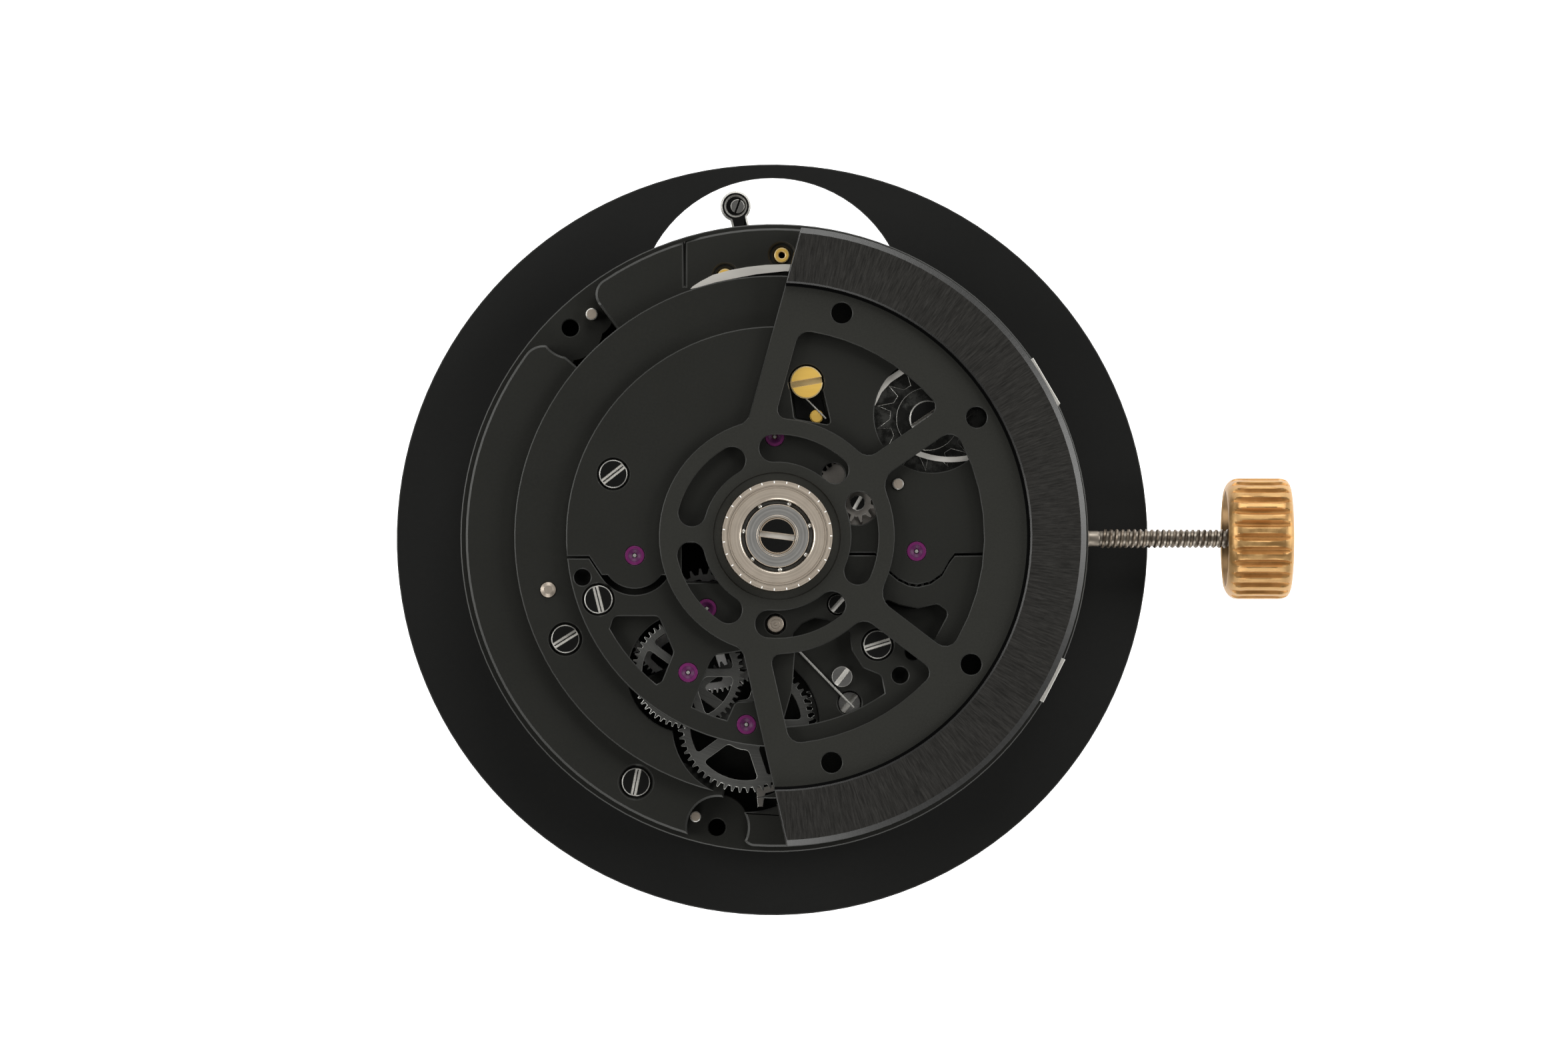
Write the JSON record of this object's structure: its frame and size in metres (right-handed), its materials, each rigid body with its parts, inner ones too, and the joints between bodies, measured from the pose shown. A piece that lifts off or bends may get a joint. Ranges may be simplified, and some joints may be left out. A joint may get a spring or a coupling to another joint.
{
  "type": "chronograph movement",
  "caption": "Automatic chronograph watch movement with dial, skeleton rotor on a ball bearing, bridges, wheel train, chronograph levers, winding stem and fluted crown.",
  "frame": {"origin": "centre of the hand posts at the dial's front face", "axes": "+Z from the dial to the rotor, along the hand posts; +X along the winding stem to the crown; +Y to the opening in the dial"},
  "size_m": [0.0427, 0.036, 0.0076],
  "materials": {
    "plate_metal": "matte grey plated",
    "dial_black": "matte black",
    "bridge_charcoal": "matte charcoal plated",
    "black_steel": "polished black",
    "gold": "polished",
    "bright_steel": "polished",
    "ruby": "polished",
    "bearing_steel": "turned",
    "rotor_alloy": "radially brushed charcoal",
    "rotor_frame_metal": "matte charcoal plated",
    "gear_steel": "dark satin",
    "gilt_brass": "satin",
    "spring_steel": "polished",
    "lever_steel": "satin off-white",
    "crown_gold": "polished, worn"
  },
  "bodies": {
    "movement": {"main_plate": "plate_metal", "dial": "dial_black", "low_bridge_left": "bridge_charcoal", "low_bridge_top": "bridge_charcoal", "barrel_bridge": "bridge_charcoal", "ring_bridge": "bridge_charcoal", "automatic_bridge": "bridge_charcoal", "train_bridge": "bridge_charcoal", "bridge_screws": "black_steel", "gold_screw": "gold", "small_screws": "bright_steel", "jewels": "ruby", "gold_bushings": "gold", "locating_pins": "bright_steel", "balance_cock": "plate_metal", "pallet_bridge": "plate_metal", "wire_spring": "bright_steel", "curved_spring": "bright_steel", "rotor_post": "bearing_steel", "rotor_screw": "black_steel"},
    "rotor": {"rotor_weight": "rotor_alloy", "rotor_frame": "rotor_frame_metal", "bearing_outer_ring": "bearing_steel"},
    "ball_cage": {"bearing_cage": "bearing_steel", "bearing_balls": "bright_steel"},
    "transfer_wheel": {"transfer_wheel": "bright_steel"},
    "reverser_wheel": {"reverser_wheel": "gear_steel"},
    "reduction_wheel": {"reduction_wheel": "gear_steel"},
    "crown_wheel": {"crown_wheel": "bright_steel"},
    "winding_wheel": {"winding_wheel": "bright_steel"},
    "ratchet_wheel": {"ratchet_wheel": "bright_steel"},
    "click": {"click": "bright_steel"},
    "barrel": {"barrel": "gilt_brass", "mainspring": "spring_steel"},
    "second_wheel": {"second_wheel": "gear_steel"},
    "third_wheel": {"third_wheel": "gear_steel"},
    "fourth_wheel": {"fourth_wheel": "bright_steel"},
    "escape_wheel": {"escape_wheel": "bright_steel"},
    "pallet_fork": {"pallet_fork": "bright_steel"},
    "balance": {"balance_wheel": "gilt_brass", "hairspring": "spring_steel"},
    "coupling_lever": {"coupling_lever": "bright_steel"},
    "coupling_wheel": {"coupling_wheel": "bright_steel"},
    "chronograph_wheel": {"chronograph_wheel": "gilt_brass"},
    "minute_counter": {"minute_counter_wheel": "gilt_brass"},
    "column_wheel": {"column_wheel": "bright_steel"},
    "operating_lever": {"operating_lever": "lever_steel"},
    "reset_lever": {"reset_lever": "lever_steel"},
    "hammer": {"hammer": "bright_steel"},
    "winding_pinion": {"winding_pinion": "bright_steel"},
    "winding_stem": {"stem": "bright_steel", "crown": "crown_gold"},
    "sliding_pinion": {"sliding_pinion": "bright_steel"},
    "setting_lever": {"setting_lever": "bright_steel"},
    "yoke": {"yoke": "bright_steel"},
    "setting_wheel": {"setting_wheel": "bright_steel"},
    "minute_wheel": {"minute_wheel": "gilt_brass"},
    "cannon_pinion": {"cannon_pinion": "bright_steel"},
    "hour_wheel": {"hour_wheel": "gilt_brass"},
    "corrector_lever": {"corrector_lever": "lever_steel"}
  },
  "joints": [
    {"name": "rotor_spin", "type": "hinge", "parent": "movement", "child": "rotor", "pos_m": [0, 0, 0.003], "axis": [0, 0, 1], "continuous": true},
    {"name": "cage_spin", "type": "hinge", "parent": "movement", "child": "ball_cage", "pos_m": [0, 0, 0.003], "axis": [0, 0, 1], "continuous": true},
    {"name": "transfer_spin", "type": "hinge", "parent": "movement", "child": "transfer_wheel", "pos_m": [0.00385, 0.0016, 0.003], "axis": [0, 0, 1], "continuous": true},
    {"name": "reverser_spin", "type": "hinge", "parent": "movement", "child": "reverser_wheel", "pos_m": [0.0072, 0.0056, 0.003], "axis": [0, 0, 1], "continuous": true},
    {"name": "reduction_spin", "type": "hinge", "parent": "movement", "child": "reduction_wheel", "pos_m": [0.00666, -0.0007, 0.003], "axis": [0, 0, 1], "continuous": true},
    {"name": "crown_turn", "type": "hinge", "parent": "movement", "child": "winding_pinion", "pos_m": [0.0101, 0, 0.00235], "axis": [1, 0, 0], "continuous": true},
    {"name": "crown_pull", "type": "slide", "parent": "winding_pinion", "child": "winding_stem", "axis": [1, 0, 0], "range_m": [0, 0.001]},
    {"name": "sliding_pinion_shift", "type": "slide", "parent": "winding_pinion", "child": "sliding_pinion", "axis": [-1, 0, 0], "range_m": [0, 0.000951]},
    {"name": "setting_lever_swing", "type": "hinge", "parent": "movement", "child": "setting_lever", "pos_m": [0.0118, 0.0022, 0.003], "axis": [0, 0, 1], "range_deg": [0, 30.97]},
    {"name": "yoke_swing", "type": "hinge", "parent": "movement", "child": "yoke", "pos_m": [0.0081, -0.0034, 0.003], "axis": [0, 0, 1], "range_deg": [0, 20.31]},
    {"name": "crown_wheel_spin", "type": "hinge", "parent": "movement", "child": "crown_wheel", "pos_m": [0.00869, 0, 0.003], "axis": [0, 0, 1], "continuous": true},
    {"name": "winding_wheel_spin", "type": "hinge", "parent": "movement", "child": "winding_wheel", "pos_m": [0.00745, -0.00364, 0.003], "axis": [0, 0, 1], "continuous": true},
    {"name": "ratchet_spin", "type": "hinge", "parent": "movement", "child": "ratchet_wheel", "pos_m": [0.00418, -0.0076, 0.003], "axis": [0, 0, 1], "continuous": true},
    {"name": "click_swing", "type": "hinge", "parent": "movement", "child": "click", "pos_m": [0.00252, -0.01027, 0.003], "axis": [0, 0, 1], "range_deg": [0, 8], "stiffness_Nm_per_rad": 0.000001},
    {"name": "fourth_spin", "type": "hinge", "parent": "movement", "child": "fourth_wheel", "pos_m": [-0.00332, -0.00344, 0.003], "axis": [0, 0, 1], "continuous": true},
    {"name": "barrel_spin", "type": "hinge", "parent": "movement", "child": "barrel", "pos_m": [0.00418, -0.0076, 0.003], "axis": [0, 0, 1], "continuous": true},
    {"name": "second_spin", "type": "hinge", "parent": "movement", "child": "second_wheel", "pos_m": [-0.00143, -0.00894, 0.003], "axis": [0, 0, 1], "continuous": true},
    {"name": "third_spin", "type": "hinge", "parent": "movement", "child": "third_wheel", "pos_m": [-0.0042, -0.00647, 0.003], "axis": [0, 0, 1], "continuous": true},
    {"name": "escape_spin", "type": "hinge", "parent": "movement", "child": "escape_wheel", "pos_m": [-0.00674, -0.00091, 0.003], "axis": [0, 0, 1], "continuous": true},
    {"name": "pallet_swing", "type": "hinge", "parent": "movement", "child": "pallet_fork", "pos_m": [-0.00709, 0.00106, 0.003], "axis": [0, 0, 1], "range_deg": [-5, 5]},
    {"name": "balance_swing", "type": "hinge", "parent": "movement", "child": "balance", "pos_m": [-0.00761, 0.00401, 0.003], "axis": [0, 0, 1], "range_deg": [-290, 290], "stiffness_Nm_per_rad": 0.0000006},
    {"name": "coupling_swing", "type": "hinge", "parent": "movement", "child": "coupling_lever", "pos_m": [-0.00332, -0.00344, 0.003], "axis": [0, 0, 1], "range_deg": [0, 1.75]},
    {"name": "coupling_spin", "type": "hinge", "parent": "coupling_lever", "child": "coupling_wheel", "pos_m": [-0.00005, -0.00417, 0.003], "axis": [0, 0, 1], "continuous": true},
    {"name": "chronograph_spin", "type": "hinge", "parent": "movement", "child": "chronograph_wheel", "pos_m": [0, 0, 0.003], "axis": [0, 0, 1], "continuous": true},
    {"name": "minute_counter_spin", "type": "hinge", "parent": "movement", "child": "minute_counter", "pos_m": [-0.00009, 0.00475, 0.003], "axis": [0, 0, 1], "continuous": true},
    {"name": "column_wheel_spin", "type": "hinge", "parent": "movement", "child": "column_wheel", "pos_m": [0.0083, 0.007, 0.003], "axis": [0, 0, 1], "continuous": true},
    {"name": "start_press", "type": "hinge", "parent": "movement", "child": "operating_lever", "pos_m": [0.012, 0.0036, 0.003], "axis": [0, 0, 1], "range_deg": [0, 8.8], "stiffness_Nm_per_rad": 0.00001},
    {"name": "reset_press", "type": "hinge", "parent": "movement", "child": "reset_lever", "pos_m": [0.0103, -0.0086, 0.003], "axis": [0, 0, 1], "range_deg": [0, 6], "stiffness_Nm_per_rad": 0.00001},
    {"name": "hammer_slide", "type": "slide", "parent": "movement", "child": "hammer", "axis": [-1, 0, 0], "range_m": [0, 0.00035]},
    {"name": "minute_hand_turn", "type": "hinge", "parent": "movement", "child": "cannon_pinion", "pos_m": [0, 0, 0.003], "axis": [0, 0, 1], "continuous": true},
    {"name": "minute_wheel_spin", "type": "hinge", "parent": "movement", "child": "minute_wheel", "pos_m": [0.003, 0, 0.003], "axis": [0, 0, 1], "continuous": true},
    {"name": "hour_hand_turn", "type": "hinge", "parent": "movement", "child": "hour_wheel", "pos_m": [0, 0, 0.003], "axis": [0, 0, 1], "continuous": true},
    {"name": "setting_wheel_spin", "type": "hinge", "parent": "movement", "child": "setting_wheel", "pos_m": [0.00613, 0, 0.003], "axis": [0, 0, 1], "continuous": true},
    {"name": "corrector_swing", "type": "hinge", "parent": "movement", "child": "corrector_lever", "pos_m": [-0.0014, 0.0112, 0.003], "axis": [0, 0, 1], "range_deg": [-4, 4]}
  ],
  "couplings": [
    {"joint": "cage_spin", "follows": "rotor_spin", "ratio": 0.53251},
    {"joint": "transfer_spin", "follows": "rotor_spin", "ratio": -0.85106},
    {"joint": "reverser_spin", "follows": "rotor_spin", "ratio": 0.64516},
    {"joint": "reduction_spin", "follows": "rotor_spin", "ratio": 1.0372},
    {"joint": "crown_wheel_spin", "follows": "crown_turn", "ratio": -0.61538},
    {"joint": "winding_wheel_spin", "follows": "crown_turn", "ratio": 0.31373},
    {"joint": "ratchet_spin", "follows": "crown_turn", "ratio": -0.30769},
    {"joint": "sliding_pinion_shift", "follows": "crown_pull", "ratio": 0.95},
    {"joint": "setting_lever_swing", "follows": "crown_pull", "rad_per_m": 540.54},
    {"joint": "yoke_swing", "follows": "crown_pull", "rad_per_m": 354.48},
    {"joint": "third_spin", "follows": "fourth_spin", "ratio": -0.22222},
    {"joint": "second_spin", "follows": "fourth_spin", "ratio": 0.041152},
    {"joint": "barrel_spin", "follows": "fourth_spin", "ratio": -0.0048991},
    {"joint": "escape_spin", "follows": "fourth_spin", "ratio": -12},
    {"joint": "coupling_spin", "follows": "fourth_spin", "ratio": -1.2381},
    {"joint": "reset_press", "follows": "hammer_slide", "rad_per_m": 299.2},
    {"joint": "minute_wheel_spin", "follows": "minute_hand_turn", "ratio": -0.33333},
    {"joint": "hour_hand_turn", "follows": "minute_hand_turn", "ratio": 0.083333},
    {"joint": "setting_wheel_spin", "follows": "minute_hand_turn", "ratio": 0.85714}
  ]
}
